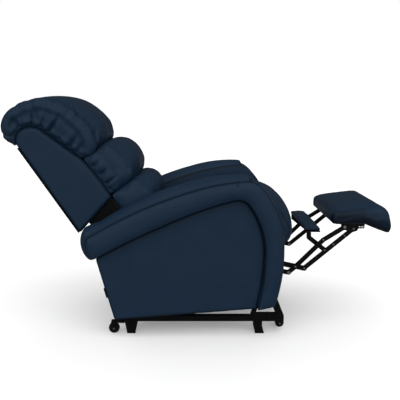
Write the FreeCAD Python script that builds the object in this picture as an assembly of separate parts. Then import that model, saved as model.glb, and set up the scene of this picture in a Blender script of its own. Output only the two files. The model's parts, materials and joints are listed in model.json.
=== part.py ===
import FreeCAD
import Part
import math
import os

# Lift chair, reclined with its leg rest out. Millimetres, X forward, Y to the sitter's left, Z up.

# Widths, from the middle of the seat outwards
SEAT_WIDTH = 532
ARM_GAP = 8
ARM_WIDTH = 128
BACK_INSET = 4
PILLOW_INSET = 4
OTTOMAN_OVERHANG = 2
OTTOMAN_BOARD_OVERHANG = 4
MID_PAD_GAP = 4
PLATE_SETBACK = 16
LINER_SETBACK = 2
FRAME_GAP = 2
SIDE_GAP = 3

# Steel stock
TUBE_SIZE = 26
TUBE_WALL = 2
CROSS_TUBE_RADIUS = 12
PLATE_THICK = 5
LINK_THICK = 4
LINK_GAP = 1
LINK_WIDTH = 21
FRONT_LINK_WIDTH = 23
LIFT_ARM_WIDTH = 30
LIFT_ARM_THICK = 6
GUIDE_LINK_WIDTH = 22
PIN_RADIUS = 5
PIN_END = 1
PIN_BOSS_RADIUS = 9
RIVET_RADIUS = 4
RIVET_HEAD = 6.5
RIVET_HEAD_THICK = 2
RIVET_END = 0.5
PIN_CLEARANCE = 0.08
GUIDE_PIVOT_PLAY = 1.2
TAIL_PIVOT_PLAY = 1.1
BACK_PIVOT_PLAY = 2

# Base
RAIL_BOTTOM = 58
RAIL_FRONT = 374
RAIL_REAR = -340
UPRIGHT_THICK = 12
UPRIGHT_REAR = 222
UPRIGHT_HEAD = (256, 322)
UPRIGHT_HEAD_RISE = 16
UPRIGHT_WINDOW = [(248, 98), (344, 98), (314, 148), (268, 148)]
FOOT_INSET = 4
FOOT_PAD_HEIGHT = 4
FRONT_FOOT_X = 258
FRONT_FOOT_LENGTH = 40
FRONT_FOOT_BEND = 35
FRONT_FOOT_KICK = 8
REAR_FOOT_TOP = (-337, -277)
REAR_FOOT_BOTTOM = (-327, -290)
REAR_WHEEL_RADIUS = 24
REAR_WHEEL_X = -385
REAR_WHEEL_INSET = 4
FRONT_ROLLER_RADIUS = 20
FRONT_ROLLER_X = 366
FRONT_ROLLER_INSET = 66
FRONT_ROLLER_WIDTH = 24
WHEEL_LIFT = 1
WHEEL_CHAMFER = 4
WHEEL_DISH = 0.55
WHEEL_DISH_DEPTH = 2
AXLE_RADIUS = 4
AXLE_END = 4
FORK_WIDTH = 16
FORK_THICK = 3
FORK_LEAN = 4
FORK_ARM_HEIGHT = 8
FORK_ARM_OVERHANG = 12

# Lift pivots: arm and guide on the base, then on the chair frame
LIFT_ARM_FRONT = (270, 168.4)
LIFT_ARM_REAR = (-180, 114.9)
GUIDE_FRONT = (309.3, 168.5)
GUIDE_REAR = (24, 131.1)

# Leg rest pivots at full extension
LEG_PIVOT = (200.1, 343.1)
LEG_REAR_PIVOT = (169.5, 312.9)
LEG_CROSS = (429.8, 292.4)
LEG_KNEE = (471, 283.1)
LEG_TAIL = (399.2, 266.6)
LEG_BEND = (551.6, 415.4)
LEG_SHAFT_RADIUS = 11
LEG_SHAFT_WALL = 3
OTTOMAN_PIVOT = (645.6, 474.3)
OTTOMAN_FRONT_PIVOT = (686.8, 465)
OTTOMAN_BRACKET = [(632, 462), (648, 459), (684, 450), (702, 456), (708, 466), (734, 467)]
OTTOMAN_BRACKET_ENDS = (630, 736)
OTTOMAN_BRACKET_HOLES = [(712, 474), (720, 474), (728, 474)]
OTTOMAN_BRACKET_HOLE_RADIUS = 2.5
OTTOMAN_FLANGE_WIDTH = 30
OTTOMAN_BOARD_REAR = 606
MID_PAD_PIVOT = (560.8, 366.8)
MID_PAD_ELBOWS = [(514, 404), (489, 424)]
MID_PAD_BOTTOM = 452
MID_SHELF_ENDS = (476, 540)
MID_SHELF_WIDTH = 34

# Back hinge, and the frame that the backrest is drawn in: first up the back, then forward from it
BACK_HINGE = (-380, 395)
BACK_CORNER = (-535, 451)
BACK_LEAN = 34.2
BACK_SIDE_THICK = 24
BACK_CREST = [(469, 0), (502, 22), (511, 55), (500, 92), (462, 124)]
BACK_FRONT = [(255, 196), (150, 207), (51.5, 206.6)]
BACK_RAIL_DEPTH = 20
BACK_RAIL_HEIGHT = 65
BACK_RAIL_CORNERS = [(20, 12), (240, 12), (430, 40), (240, 150)]
REAR_COVER_THICK = 6
REAR_COVER_ENDS = (2, 456)
LUMBAR_BOARD = [(-84, 190), (46, 190), (46, 206), (-84, 206)]
HINGE_PLATE = [(70, 50), (70, 190), (-80, 205), (-82, 160), (-118, 120), (-118, 74), (-60, 60)]
HINGE_EYE_RADIUS = 24
HINGE_TUBE_RADIUS = 14
HINGE_TUBE_WALL = 4

# Chair frame
PANEL_THICK = 27
LINER_THICK = 8
LINER_BOTTOM = 195
CHAIR_RAIL_HEIGHT = 23
CHAIR_RAIL_THICK = 18
CHAIR_RAIL_ENDS = (-358, 224)
CHAIR_RAIL_RISE = 3
REAR_TUBE = (-300, 215)
MID_TUBE = (40, 230)
MECHANISM_PLATE = [
    (-408, 372), (-396, 424), (-360, 424), (-342, 396), (180, 396), (196, 440), (228, 440), (226, 318),
    (196, 282), (136, 282), (90, 340), (-340, 350), (-396, 350),
]
DECK_REAR = (-335, 397)
DECK_FRONT = (330, 472)
SEAT_LIP = (352, 440)
SEAT_BOARD_WIDTH = 25
SEAT_BOARD_HEIGHT = 34
FRONT_BOARD_X = 203
STRAP_COUNT = 5
STRAP_WIDTH = 50
STRAP_THICK = 2
BOARD_THICK = 12
CONTROL_BOX_LENGTH = 110
CONTROL_BOX_WIDTH = 75
CONTROL_BOX_HEIGHT = 48
CONTROL_BOX_INSET = 41
INLET_HEIGHTS = (186, 226)
INLET_WIDTH = 40
INLET_THICK = 5
INLET_EDGE = 2

# Screw motors: pivot of the housing, end of the rod, middle plane; then sleeve end and rod start along them
MOTOR_SPREAD = 110
LIFT_MOTOR = ((322, 85), (20, 200), 0)
LIFT_SLEEVE = (292, 110)
LEG_MOTOR = ((-285, 293), (243.3, 301.4), MOTOR_SPREAD)
LEG_SLEEVE = (380, 330)
BACK_MOTOR = ((60, 275), (-350, 280), -MOTOR_SPREAD)
BACK_SLEEVE = (375, 250)
SLEEVE_RADIUS = 17
SLEEVE_WALL = 5
GLAND_LENGTH = 10
GEARBOX_START = 18
GEARBOX_LENGTH = 60
GEARBOX_WIDTH = 50
GEARBOX_CHAMFER = 6
CAN_RADIUS = 20
CAN_LENGTH = 72
NECK_HEIGHT = 16
ROD_RADIUS = 7
EYE_RADIUS = 12
EYE_WIDTH = 18
CLEVIS_GAP = 1.5
CLEVIS_THICK = 5
CLEVIS_SPREAD = 60

# Arm cover line as (x, z, crown), rear to front, then the line where the band meets the panel
ARM_COVER = [
    (-453, 361, 6), (-478, 400, 16), (-481, 444, 22), (-474, 457, 26), (-459, 465, 30),
    (-269, 565, 42), (-33, 654, 41), (90, 684, 36), (195, 697, 26), (240, 686, 18),
    (272, 656, 12), (335, 545, 10), (356, 400, 10), (350, 285, 10), (322.6, 154, 6),
]
ARM_BAND = [
    (246, 136), (271, 270), (278, 372), (262, 490), (215, 586), (186, 612), (143, 615),
    (25, 580), (-152, 508), (-300, 441), (-447, 363),
]
ARM_HOLLOW = [(230, 100), (296, 100), (304, 154), (316, 200), (322, 235), (262, 235)]
ARM_MOUTH = [(280, 100), (370, 100), (370, 196), (280, 196)]
PANEL_REAR_TOP = (-447, 351)
PANEL_REAR_BOTTOM = (-373, 85)

# Shares of the arm's width where its cover is cut, and of the crown's height there
ARM_STATIONS = [(0, 0), (0.1, 0.5), (0.25, 0.8), (0.5, 1), (0.75, 0.8), (0.9, 0.5), (1, 0)]

# Cushion outlines: the drawn-in end and the crowned middle share their order of points
SEAT_END = [
    (-335, 398), (-336, 420), (-322, 440), (-120, 478), (60, 522), (170, 567), (248, 606), (292, 600),
    (330, 573), (376, 520), (398, 470), (399, 436), (386, 410), (381, 403), (372, 404),
]
SEAT_MIDDLE = [
    (-335, 398), (-336, 430), (-322, 455), (-120, 500), (60, 549), (170, 597), (262, 640), (312, 631),
    (355, 600), (404, 540), (427, 481), (426, 438), (408, 404), (394, 396), (378, 400),
]
HEAD_END = [
    (462, -4), (515, -14), (558, -8), (590, 30), (596, 75), (590, 132), (571, 185), (520, 237),
    (422, 277), (335, 284), (285, 268), (266, 245), (262, 214),
]
HEAD_MIDDLE = [
    (462, -4), (520, -18), (570, -8), (598, 40), (606, 95), (600, 150), (572, 212), (525, 275),
    (440, 324), (350, 343), (290, 345), (270, 338), (262, 322),
]
HEAD_UNDER = [
    (262, 197.5), (463, 127.5), (485, 111.5), (503.5, 92.5), (512, 73.5), (514, 55), (511.5, 37),
    (503.5, 20.5), (488.5, 5.5), (471, -2),
]
MID_END = [(258, 212), (248, 243), (215, 260), (165, 265), (115, 260), (75, 250), (62, 214)]
MID_MIDDLE = [(258, 326), (244, 366), (212, 384), (165, 394), (115, 392), (80, 378), (62, 346)]
MID_UNDER = [(62, 210), (150, 210), (258, 200)]
LOW_END = [(58, 214), (48, 248), (15, 264), (-15, 268), (-45, 262), (-72, 245), (-82, 214)]
LOW_MIDDLE = [(58, 342), (46, 384), (12, 401), (-15, 405), (-42, 401), (-70, 388), (-84, 352)]
LOW_UNDER = [(-82, 209), (58, 211)]
OTTOMAN_END = [
    (594, 487), (584, 512), (594, 538), (700, 551), (815, 562), (838, 545), (848, 505), (852, 470),
    (846, 446), (792, 465), (740, 487),
]
OTTOMAN_MIDDLE = [
    (594, 487), (582, 514), (594, 544), (700, 563), (812, 574), (841, 552), (852, 508), (856, 470),
    (846, 446), (792, 465), (740, 487),
]
MID_PAD_END = [(545, 452), (544, 459), (530, 464), (508, 466), (485, 464), (472, 459), (471, 452)]
MID_PAD_MIDDLE = [(545, 452), (546, 463), (530, 469), (508, 472), (485, 469), (470, 463), (471, 452)]

# Shares of the half width where a cushion is cut, and how far its crown has risen there
CUSHION_STATIONS = [(-1, 0), (-0.88, 0.55), (-0.45, 1), (0.45, 1), (0.88, 0.55), (1, 0)]

BACK_WIDTH = SEAT_WIDTH - 2 * BACK_INSET
PILLOW_WIDTH = BACK_WIDTH - 2 * PILLOW_INSET
OTTOMAN_WIDTH = SEAT_WIDTH + 2 * OTTOMAN_OVERHANG
ARM_INNER = SEAT_WIDTH / 2 + ARM_GAP
PLATE_INNER = ARM_INNER - PLATE_SETBACK
PLATE_OUTER = PLATE_INNER + PLATE_THICK
LINER_INNER = ARM_INNER + LINER_SETBACK
LINER_OUTER = LINER_INNER + LINER_THICK
RAIL_INNER = LINER_OUTER + FRAME_GAP
RAIL_OUTER = RAIL_INNER + TUBE_SIZE
RAIL_MIDDLE = RAIL_INNER + TUBE_SIZE / 2
RAIL_TOP = RAIL_BOTTOM + TUBE_SIZE
REAR_WHEEL_WIDTH = TUBE_SIZE - 2 * REAR_WHEEL_INSET
LIFT_ARM_INNER = RAIL_OUTER + SIDE_GAP
LIFT_ARM_OUTER = LIFT_ARM_INNER + LIFT_ARM_THICK
GUIDE_INNER = LIFT_ARM_OUTER + SIDE_GAP
GUIDE_OUTER = GUIDE_INNER + LINK_THICK
CHAIR_RAIL_INNER = GUIDE_OUTER + SIDE_GAP
PANEL_INNER = CHAIR_RAIL_INNER + CHAIR_RAIL_THICK
PANEL_OUTER = PANEL_INNER + PANEL_THICK
PANEL_FRONT_BOTTOM = ARM_BAND[0]
PIN_HOLE = PIN_RADIUS + PIN_CLEARANCE
RIVET_HOLE = RIVET_RADIUS + PIN_CLEARANCE

os.makedirs("parts", exist_ok=True)


def save(name, solids):
    Part.makeCompound(solids).exportStep("parts/" + name + ".step")


def place(point, y):
    return FreeCAD.Vector(point[0], y, point[1])


def mirrored(shape):
    return shape.mirror(FreeCAD.Vector(0, 0, 0), FreeCAD.Vector(0, 1, 0))


def both(shape):
    return [mirrored(shape), shape]


def arcs(points, y):
    # One arc through each run of three points, sharing the end points
    edges = []
    for first in range(0, len(points) - 2, 2):
        start, middle, end = [place(point, y) for point in points[first:first + 3]]
        edges.append(Part.Arc(start, middle, end).toShape())
    return edges


def lines(points, y):
    return [Part.makeLine(place(a, y), place(b, y)) for a, b in zip(points, points[1:])]


def plate(edges, thick):
    return Part.Face(Part.Wire(edges)).extrude(FreeCAD.Vector(0, thick, 0))


def sheet(points, low, high):
    return plate(lines(points + points[:1], low), high - low)


def block(x_ends, y_ends, z_ends):
    size = [high - low for low, high in (x_ends, y_ends, z_ends)]
    return Part.makeBox(size[0], size[1], size[2], FreeCAD.Vector(x_ends[0], y_ends[0], z_ends[0]))


def square_tube(x_ends, y_ends, z_ends):
    ends = (x_ends, y_ends, z_ends)
    inner = [(low + TUBE_WALL, high - TUBE_WALL) for low, high in ends]
    return block(*ends).cut(block(*inner))


def disc(centre, radius, low, high):
    return Part.makeCylinder(radius, high - low, place(centre, low), FreeCAD.Vector(0, 1, 0))


def rod(radius, start, end):
    return Part.makeCylinder(radius, end - start, FreeCAD.Vector(start, 0, 0), FreeCAD.Vector(1, 0, 0))


def round_tube(centre, radius, wall, half):
    return disc(centre, radius, -half, half).cut(disc(centre, radius - wall, -half, half))


def bar(start, end, width, low, high):
    # Flat bar with half-round ends
    along = FreeCAD.Vector(end[0] - start[0], 0, end[1] - start[1])
    along.normalize()
    side = FreeCAD.Vector(-along.z, 0, along.x) * (width / 2)
    nose = along * (width / 2)
    first = place(start, low)
    last = place(end, low)
    edges = [
        Part.makeLine(first + side, last + side),
        Part.Arc(last + side, last + nose, last - side).toShape(),
        Part.makeLine(last - side, first - side),
        Part.Arc(first - side, first - nose, first + side).toShape(),
    ]
    return plate(edges, high - low)


def link(points, width, low, high):
    solid = bar(points[0], points[1], width, low, high)
    for start, end in zip(points[1:], points[2:]):
        solid = solid.fuse(bar(start, end, width, low, high))
    return solid.removeSplitter()


def drilled(shape, centres, radius):
    reach = 2 * PANEL_OUTER
    for centre in centres:
        shape = shape.cut(disc(centre, radius, -reach, reach))
    return shape


def between(end, middle, share):
    return [(a[0] + (b[0] - a[0]) * share, a[1] + (b[1] - a[1]) * share) for a, b in zip(end, middle)]


def along_line(start, end, x):
    return start[1] + (x - start[0]) * (end[1] - start[1]) / (end[0] - start[0])


def back_points(points):
    # From up-the-back and forward distances to X and Z
    sine = math.sin(math.radians(BACK_LEAN))
    cosine = math.cos(math.radians(BACK_LEAN))
    x, z = BACK_CORNER
    return [(x - up * sine + ahead * cosine, z + up * cosine + ahead * sine) for up, ahead in points]


def cushion(end, middle, under, width):
    # Crowned form: the outline swells from each drawn-in end to the middle, over a fixed underside
    sections = []
    for station, share in CUSHION_STATIONS:
        y = station * width / 2
        outer = between(end, middle, share)
        edges = arcs(outer, y) + lines([outer[-1]] + under + [outer[0]], y)
        sections.append(Part.Wire(edges))
    return Part.makeLoft(sections, True, True)


def back_cushion(end, middle, under):
    return cushion(back_points(end), back_points(middle), back_points(under), PILLOW_WIDTH)


def layer(count):
    # Link layers are numbered inwards from the side plate
    outer = PLATE_INNER - FRAME_GAP - count * (LINK_THICK + LINK_GAP)
    return (outer - LINK_THICK, outer)


REAR_LINK_LAYER = layer(0)
UPPER_LINK_LAYER = layer(1)
FRONT_LINK_LAYER = layer(2)
LOWER_LINK_LAYER = layer(3)
MID_ARM_LAYER = layer(4)
HINGE_OUTER = BACK_WIDTH / 2 - BACK_SIDE_THICK
HINGE_INNER = HINGE_OUTER - PLATE_THICK


def clevis(pivot, y, foot, with_pin):
    # Two cheeks on a welded foot, with the pin through them where the pivot is closed
    inner = EYE_WIDTH / 2 + CLEVIS_GAP
    outer = inner + CLEVIS_THICK
    solids = []
    for low, high in ((y + inner, y + outer), (y - outer, y - inner)):
        cheek = sheet(foot + [pivot], low, high).fuse(disc(pivot, EYE_RADIUS, low, high))
        solids.append(cheek.removeSplitter())
    if with_pin:
        pin = disc(pivot, PIN_RADIUS, y - outer - PIN_END, y + outer + PIN_END)
        solids = [solid.cut(pin) for solid in solids] + [pin]
    return solids


def tube_clevis(pivot, y, centre, radius, with_pin):
    # The foot is saddled on a round tube
    aim = math.atan2(pivot[1] - centre[1], pivot[0] - centre[0])
    spread = math.radians(CLEVIS_SPREAD)
    angles = (aim - spread, aim + spread)
    foot = [(centre[0] + radius * math.cos(a), centre[1] + radius * math.sin(a)) for a in angles]
    tube = disc(centre, radius, y - EYE_RADIUS * 2, y + EYE_RADIUS * 2)
    return [solid.cut(tube) for solid in clevis(pivot, y, foot, with_pin)]


def make_base():
    z_ends = (RAIL_BOTTOM, RAIL_TOP)
    save("base_rails", both(square_tube((RAIL_REAR, RAIL_FRONT), (RAIL_INNER, RAIL_OUTER), z_ends)))
    tubes = []
    for x in (RAIL_REAR, RAIL_FRONT - TUBE_SIZE):
        tubes.append(square_tube((x, x + TUBE_SIZE), (-RAIL_INNER, RAIL_INNER), z_ends))
    save("base_cross_tubes", tubes)

    head = LIFT_ARM_FRONT[1] + UPRIGHT_HEAD_RISE
    head_rear, head_front = UPRIGHT_HEAD
    outline = [(UPRIGHT_REAR, RAIL_TOP), (RAIL_FRONT, RAIL_TOP), (head_front, head), (head_rear, head)]
    upright = sheet(outline, RAIL_OUTER - UPRIGHT_THICK, RAIL_OUTER)
    window = sheet(UPRIGHT_WINDOW, RAIL_OUTER - UPRIGHT_THICK, RAIL_OUTER)
    save("base_uprights", both(upright.cut(window)))
    arm_pin = disc(LIFT_ARM_FRONT, PIN_RADIUS, RAIL_OUTER, LIFT_ARM_OUTER + PIN_END)
    guide_pin = disc(GUIDE_FRONT, PIN_RADIUS, RAIL_OUTER, GUIDE_OUTER + PIN_END)
    save("base_pivot_pins", both(arm_pin) + both(guide_pin))

    foot_ends = (RAIL_INNER + FOOT_INSET, RAIL_OUTER - FOOT_INSET)
    rear = FRONT_FOOT_X - FRONT_FOOT_LENGTH / 2
    front = FRONT_FOOT_X + FRONT_FOOT_LENGTH / 2
    toe_ends = (rear + FRONT_FOOT_KICK, front + FRONT_FOOT_KICK)
    front_foot = [
        (rear, RAIL_BOTTOM), (rear, FRONT_FOOT_BEND), (toe_ends[0], FOOT_PAD_HEIGHT),
        (toe_ends[1], FOOT_PAD_HEIGHT), (front, FRONT_FOOT_BEND), (front, RAIL_BOTTOM),
    ]
    save("front_feet", both(sheet(front_foot, *foot_ends)))
    rear_foot = [
        (REAR_FOOT_TOP[0], RAIL_BOTTOM), (REAR_FOOT_BOTTOM[0], FOOT_PAD_HEIGHT),
        (REAR_FOOT_BOTTOM[1], FOOT_PAD_HEIGHT), (REAR_FOOT_TOP[1], RAIL_BOTTOM),
    ]
    save("rear_feet", both(sheet(rear_foot, *foot_ends)))
    pads = []
    for x_ends in (toe_ends, REAR_FOOT_BOTTOM):
        pads += both(block(x_ends, foot_ends, (0, FOOT_PAD_HEIGHT)))
    save("foot_pads", pads)

    tube_face = RAIL_FRONT - TUBE_SIZE
    foot = [(tube_face, RAIL_BOTTOM), (tube_face, RAIL_TOP)]
    save("lift_motor_bracket", clevis(LIFT_MOTOR[0], LIFT_MOTOR[2], foot, True))


def make_wheel(name, centre, radius, y, width):
    low = y - width / 2
    high = y + width / 2
    wheel = disc(centre, radius, low, high)
    rims = [edge for edge in wheel.Edges if edge.BoundBox.YLength < PIN_CLEARANCE]
    wheel = wheel.makeChamfer(WHEEL_CHAMFER, rims)
    for face in (low, high - WHEEL_DISH_DEPTH):
        wheel = wheel.cut(disc(centre, radius * WHEEL_DISH, face, face + WHEEL_DISH_DEPTH))
    save(name, [drilled(wheel, [centre], AXLE_RADIUS + PIN_CLEARANCE)])


def make_wheels():
    brackets = []
    axles = []
    rear_centre = (REAR_WHEEL_X, REAR_WHEEL_RADIUS + WHEEL_LIFT)
    rear_arm = (REAR_WHEEL_X - FORK_ARM_OVERHANG, REAR_FOOT_TOP[0])
    front_centre = (FRONT_ROLLER_X, FRONT_ROLLER_RADIUS + WHEEL_LIFT)
    front_arm = (RAIL_FRONT - TUBE_SIZE, FRONT_ROLLER_X + FORK_ARM_OVERHANG)
    front_y = RAIL_INNER - FRONT_ROLLER_INSET
    wheels = [
        ("rear_wheel", rear_centre, REAR_WHEEL_RADIUS, RAIL_MIDDLE, REAR_WHEEL_WIDTH, rear_arm),
        ("front_roller", front_centre, FRONT_ROLLER_RADIUS, front_y, FRONT_ROLLER_WIDTH, front_arm),
    ]
    for name, centre, radius, y, width, arm_ends in wheels:
        make_wheel(name + "_left", centre, radius, y, width)
        make_wheel(name + "_right", centre, radius, -y, width)
        inner = width / 2 + SIDE_GAP
        outer = inner + FORK_THICK
        axle = disc(centre, AXLE_RADIUS, y - outer - AXLE_END, y + outer + AXLE_END)
        axles += both(axle)
        fork = block(arm_ends, (y - outer, y + outer), (RAIL_BOTTOM - FORK_ARM_HEIGHT, RAIL_BOTTOM))
        top = (centre[0] + FORK_LEAN, RAIL_BOTTOM - FORK_WIDTH / 2 - FRAME_GAP)
        for low in (y + inner, y - outer):
            fork = fork.fuse(link([centre, top], FORK_WIDTH, low, low + FORK_THICK))
        brackets += both(fork.removeSplitter().cut(axle))
    save("wheel_brackets", brackets)
    save("wheel_axles", axles)


def make_lift():
    arm = link([LIFT_ARM_FRONT, LIFT_ARM_REAR], LIFT_ARM_WIDTH, LIFT_ARM_INNER, LIFT_ARM_OUTER)
    save("lift_arms", both(drilled(arm, [LIFT_ARM_FRONT, LIFT_ARM_REAR], PIN_HOLE)))
    guide = link([GUIDE_FRONT, GUIDE_REAR], GUIDE_LINK_WIDTH, GUIDE_INNER, GUIDE_OUTER)
    guide = drilled(guide, [GUIDE_REAR], PIN_RADIUS + GUIDE_PIVOT_PLAY)
    save("lift_guide_links", both(drilled(guide, [GUIDE_FRONT], PIN_HOLE)))


def make_motor(name, motor, sleeve_ends, can_side, eye_hole):
    # Drawn along X from the pivot of its housing, then turned to point at the end of its rod
    pivot, tip, y = motor
    sleeve_end, rod_start = sleeve_ends
    reach = math.hypot(tip[0] - pivot[0], tip[1] - pivot[1])
    eye_ends = (-EYE_WIDTH / 2, EYE_WIDTH / 2)
    half = GEARBOX_WIDTH / 2
    gearbox_end = GEARBOX_START + GEARBOX_LENGTH
    gearbox = block((GEARBOX_START, gearbox_end), (-half, half), (-half, half))
    gearbox = gearbox.makeChamfer(GEARBOX_CHAMFER, gearbox.Edges)
    eye = drilled(disc((0, 0), EYE_RADIUS, *eye_ends), [(0, 0)], PIN_HOLE)
    neck = block((PIN_HOLE + LINK_GAP, GEARBOX_START), eye_ends, (-NECK_HEIGHT / 2, NECK_HEIGHT / 2))
    can_start = FreeCAD.Vector(GEARBOX_START + GEARBOX_LENGTH / 2, 0, 0)
    can = Part.makeCylinder(CAN_RADIUS, half + CAN_LENGTH, can_start, FreeCAD.Vector(0, can_side, 0))
    sleeve = rod(SLEEVE_RADIUS, GEARBOX_START + GEARBOX_LENGTH / 2, sleeve_end)
    bore = rod(SLEEVE_RADIUS - SLEEVE_WALL, gearbox_end, sleeve_end - GLAND_LENGTH)
    mouth = rod(ROD_RADIUS + PIN_CLEARANCE, gearbox_end, sleeve_end)
    housing = gearbox.fuse([eye, neck, can, sleeve]).removeSplitter().cut(bore).cut(mouth)
    rod_eye = disc((reach, 0), EYE_RADIUS, *eye_ends)
    stem = rod(ROD_RADIUS, rod_start, reach).fuse(rod_eye).removeSplitter()
    if eye_hole:
        stem = drilled(stem, [(reach, 0)], eye_hole)
    turn = math.degrees(math.atan2(tip[1] - pivot[1], tip[0] - pivot[0]))
    for label, shape in ((name + "_motor", housing), (name + "_rod", stem)):
        shape.rotate(FreeCAD.Vector(0, 0, 0), FreeCAD.Vector(0, 1, 0), -turn)
        shape.translate(place(pivot, y))
        save(label, [shape])


def swollen(points, rise):
    # Each point moves out along the normal of its neighbours by its crown
    moved = []
    for index, (x, z, crown) in enumerate(points):
        before = points[max(index - 1, 0)]
        after = points[min(index + 1, len(points) - 1)]
        run = after[0] - before[0]
        climb = after[1] - before[1]
        length = math.hypot(run, climb)
        moved.append((x - climb / length * crown * rise, z + run / length * crown * rise))
    return moved


def make_arm_covers():
    sections = []
    for share, rise in ARM_STATIONS:
        y = ARM_INNER + share * ARM_WIDTH
        outer = swollen(ARM_COVER, rise)
        edges = arcs(outer, y) + lines([outer[-1], ARM_BAND[0]], y)
        edges += arcs(ARM_BAND, y) + lines([ARM_BAND[-1], outer[0]], y)
        sections.append(Part.Wire(edges))
    cover = Part.makeLoft(sections, True, True)
    # The foot of the front band is hollow, and open below and in front, for the lift arms and their bracket
    hollow = sheet(ARM_HOLLOW, LINER_OUTER + FRAME_GAP, PANEL_INNER - FRAME_GAP)
    mouth = sheet(ARM_MOUTH, RAIL_OUTER - UPRIGHT_THICK - SIDE_GAP, CHAIR_RAIL_INNER)
    cover = cover.cut(hollow).cut(mouth)
    save("arm_cover_left", [cover])
    save("arm_cover_right", [mirrored(cover)])


def rear_inside(z):
    # X of the inner face of the rear panel at a height
    top = (PANEL_REAR_TOP[1], PANEL_REAR_TOP[0])
    bottom = (PANEL_REAR_BOTTOM[1], PANEL_REAR_BOTTOM[0])
    return along_line(bottom, top, z) + BOARD_THICK


def make_side_panels():
    corners = [ARM_BAND[-1], PANEL_REAR_TOP, PANEL_REAR_BOTTOM, PANEL_FRONT_BOTTOM]
    panel = plate(arcs(ARM_BAND, PANEL_INNER) + lines(corners, PANEL_INNER), PANEL_THICK)
    save("side_panel_left", [panel])
    save("side_panel_right", [mirrored(panel)])

    # The liner is the panel's outline, cut off below and in front of the rear panel
    liner = plate(arcs(ARM_BAND, LINER_INNER) + lines(corners, LINER_INNER), LINER_THICK)
    low, high = PANEL_REAR_BOTTOM[1], ARM_BAND[-1][1]
    far_rear = rear_inside(high) - PANEL_OUTER
    below = block((far_rear, RAIL_FRONT), (LINER_INNER, LINER_OUTER), (0, LINER_BOTTOM))
    behind = [(rear_inside(low), low), (rear_inside(high), high), (far_rear, high), (far_rear, low)]
    liner = liner.cut(below).cut(sheet(behind, LINER_INNER, LINER_OUTER))
    save("arm_liner_left", [liner])
    save("arm_liner_right", [mirrored(liner)])

    low, high = PANEL_REAR_BOTTOM[1], PANEL_REAR_TOP[1]
    outline = [PANEL_REAR_BOTTOM, PANEL_REAR_TOP, (rear_inside(high), high), (rear_inside(low), low)]
    save("rear_panel", [sheet(outline, -PANEL_INNER, PANEL_INNER)])
    low, high = INLET_HEIGHTS
    low_x = rear_inside(low) - BOARD_THICK
    high_x = rear_inside(high) - BOARD_THICK
    outline = [(low_x, low), (high_x, high), (high_x - INLET_THICK, high), (low_x - INLET_THICK, low)]
    inlet_y = INLET_EDGE - PANEL_OUTER
    save("power_inlet", [sheet(outline, inlet_y, inlet_y + INLET_WIDTH)])


def sloped_strip(x_ends, start, end, height):
    # Outline of a strip of even height over a sloping line
    low = [(x, along_line(start, end, x)) for x in x_ends]
    return low + [(x, z + height) for x, z in reversed(low)]


def make_chair_rails():
    start = (PANEL_REAR_BOTTOM[0], PANEL_REAR_BOTTOM[1] + CHAIR_RAIL_RISE)
    end = (PANEL_FRONT_BOTTOM[0], PANEL_FRONT_BOTTOM[1] + CHAIR_RAIL_RISE)
    rail = sheet(sloped_strip(CHAIR_RAIL_ENDS, start, end, CHAIR_RAIL_HEIGHT), CHAIR_RAIL_INNER, PANEL_INNER)
    inner_ends = (CHAIR_RAIL_ENDS[0] + TUBE_WALL, CHAIR_RAIL_ENDS[1] - TUBE_WALL)
    start = (start[0], start[1] + TUBE_WALL)
    end = (end[0], end[1] + TUBE_WALL)
    outline = sloped_strip(inner_ends, start, end, CHAIR_RAIL_HEIGHT - 2 * TUBE_WALL)
    rail = rail.cut(sheet(outline, CHAIR_RAIL_INNER + TUBE_WALL, PANEL_INNER - TUBE_WALL))
    arm_pin = disc(LIFT_ARM_REAR, PIN_RADIUS, LIFT_ARM_INNER - PIN_END, CHAIR_RAIL_INNER)
    guide_pin = disc(GUIDE_REAR, PIN_RADIUS, GUIDE_INNER - PIN_END, CHAIR_RAIL_INNER)
    save("chair_rails", both(rail.fuse([arm_pin, guide_pin])))


def make_chair_frame():
    spots = (REAR_TUBE, MID_TUBE)
    tubes = [round_tube(spot, CROSS_TUBE_RADIUS, TUBE_WALL, LINER_INNER) for spot in spots]
    save("chair_cross_tubes", tubes)
    brackets = tube_clevis(LIFT_MOTOR[1], LIFT_MOTOR[2], MID_TUBE, CROSS_TUBE_RADIUS, False)
    brackets += tube_clevis(BACK_MOTOR[0], BACK_MOTOR[2], MID_TUBE, CROSS_TUBE_RADIUS, True)
    brackets += tube_clevis(LEG_MOTOR[0], LEG_MOTOR[2], REAR_TUBE, CROSS_TUBE_RADIUS, True)
    save("motor_brackets", brackets)
    x = REAR_TUBE[0] - CONTROL_BOX_LENGTH / 3
    z = REAR_TUBE[1] + CROSS_TUBE_RADIUS
    box_outer = LINER_INNER - CONTROL_BOX_INSET
    y_ends = (box_outer - CONTROL_BOX_WIDTH, box_outer)
    save("control_box", [block((x, x + CONTROL_BOX_LENGTH), y_ends, (z, z + CONTROL_BOX_HEIGHT))])

    plates = sheet(MECHANISM_PLATE, PLATE_INNER, PLATE_OUTER)
    save("mechanism_plates", both(drilled(plates, [LEG_PIVOT, LEG_REAR_PIVOT, BACK_HINGE], PIN_RADIUS)))
    pins = []
    pin_ends = [
        (LEG_PIVOT, FRONT_LINK_LAYER[0], LINER_INNER),
        (LEG_REAR_PIVOT, REAR_LINK_LAYER[0], LINER_INNER),
        (BACK_HINGE, HINGE_INNER, ARM_INNER),
    ]
    for centre, inner, outer in pin_ends:
        boss = disc(centre, PIN_BOSS_RADIUS, PLATE_OUTER, outer)
        pin = disc(centre, PIN_RADIUS, inner - PIN_END, PLATE_OUTER).fuse(boss)
        pins += both(pin.removeSplitter())
    save("mechanism_pins", pins)


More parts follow.
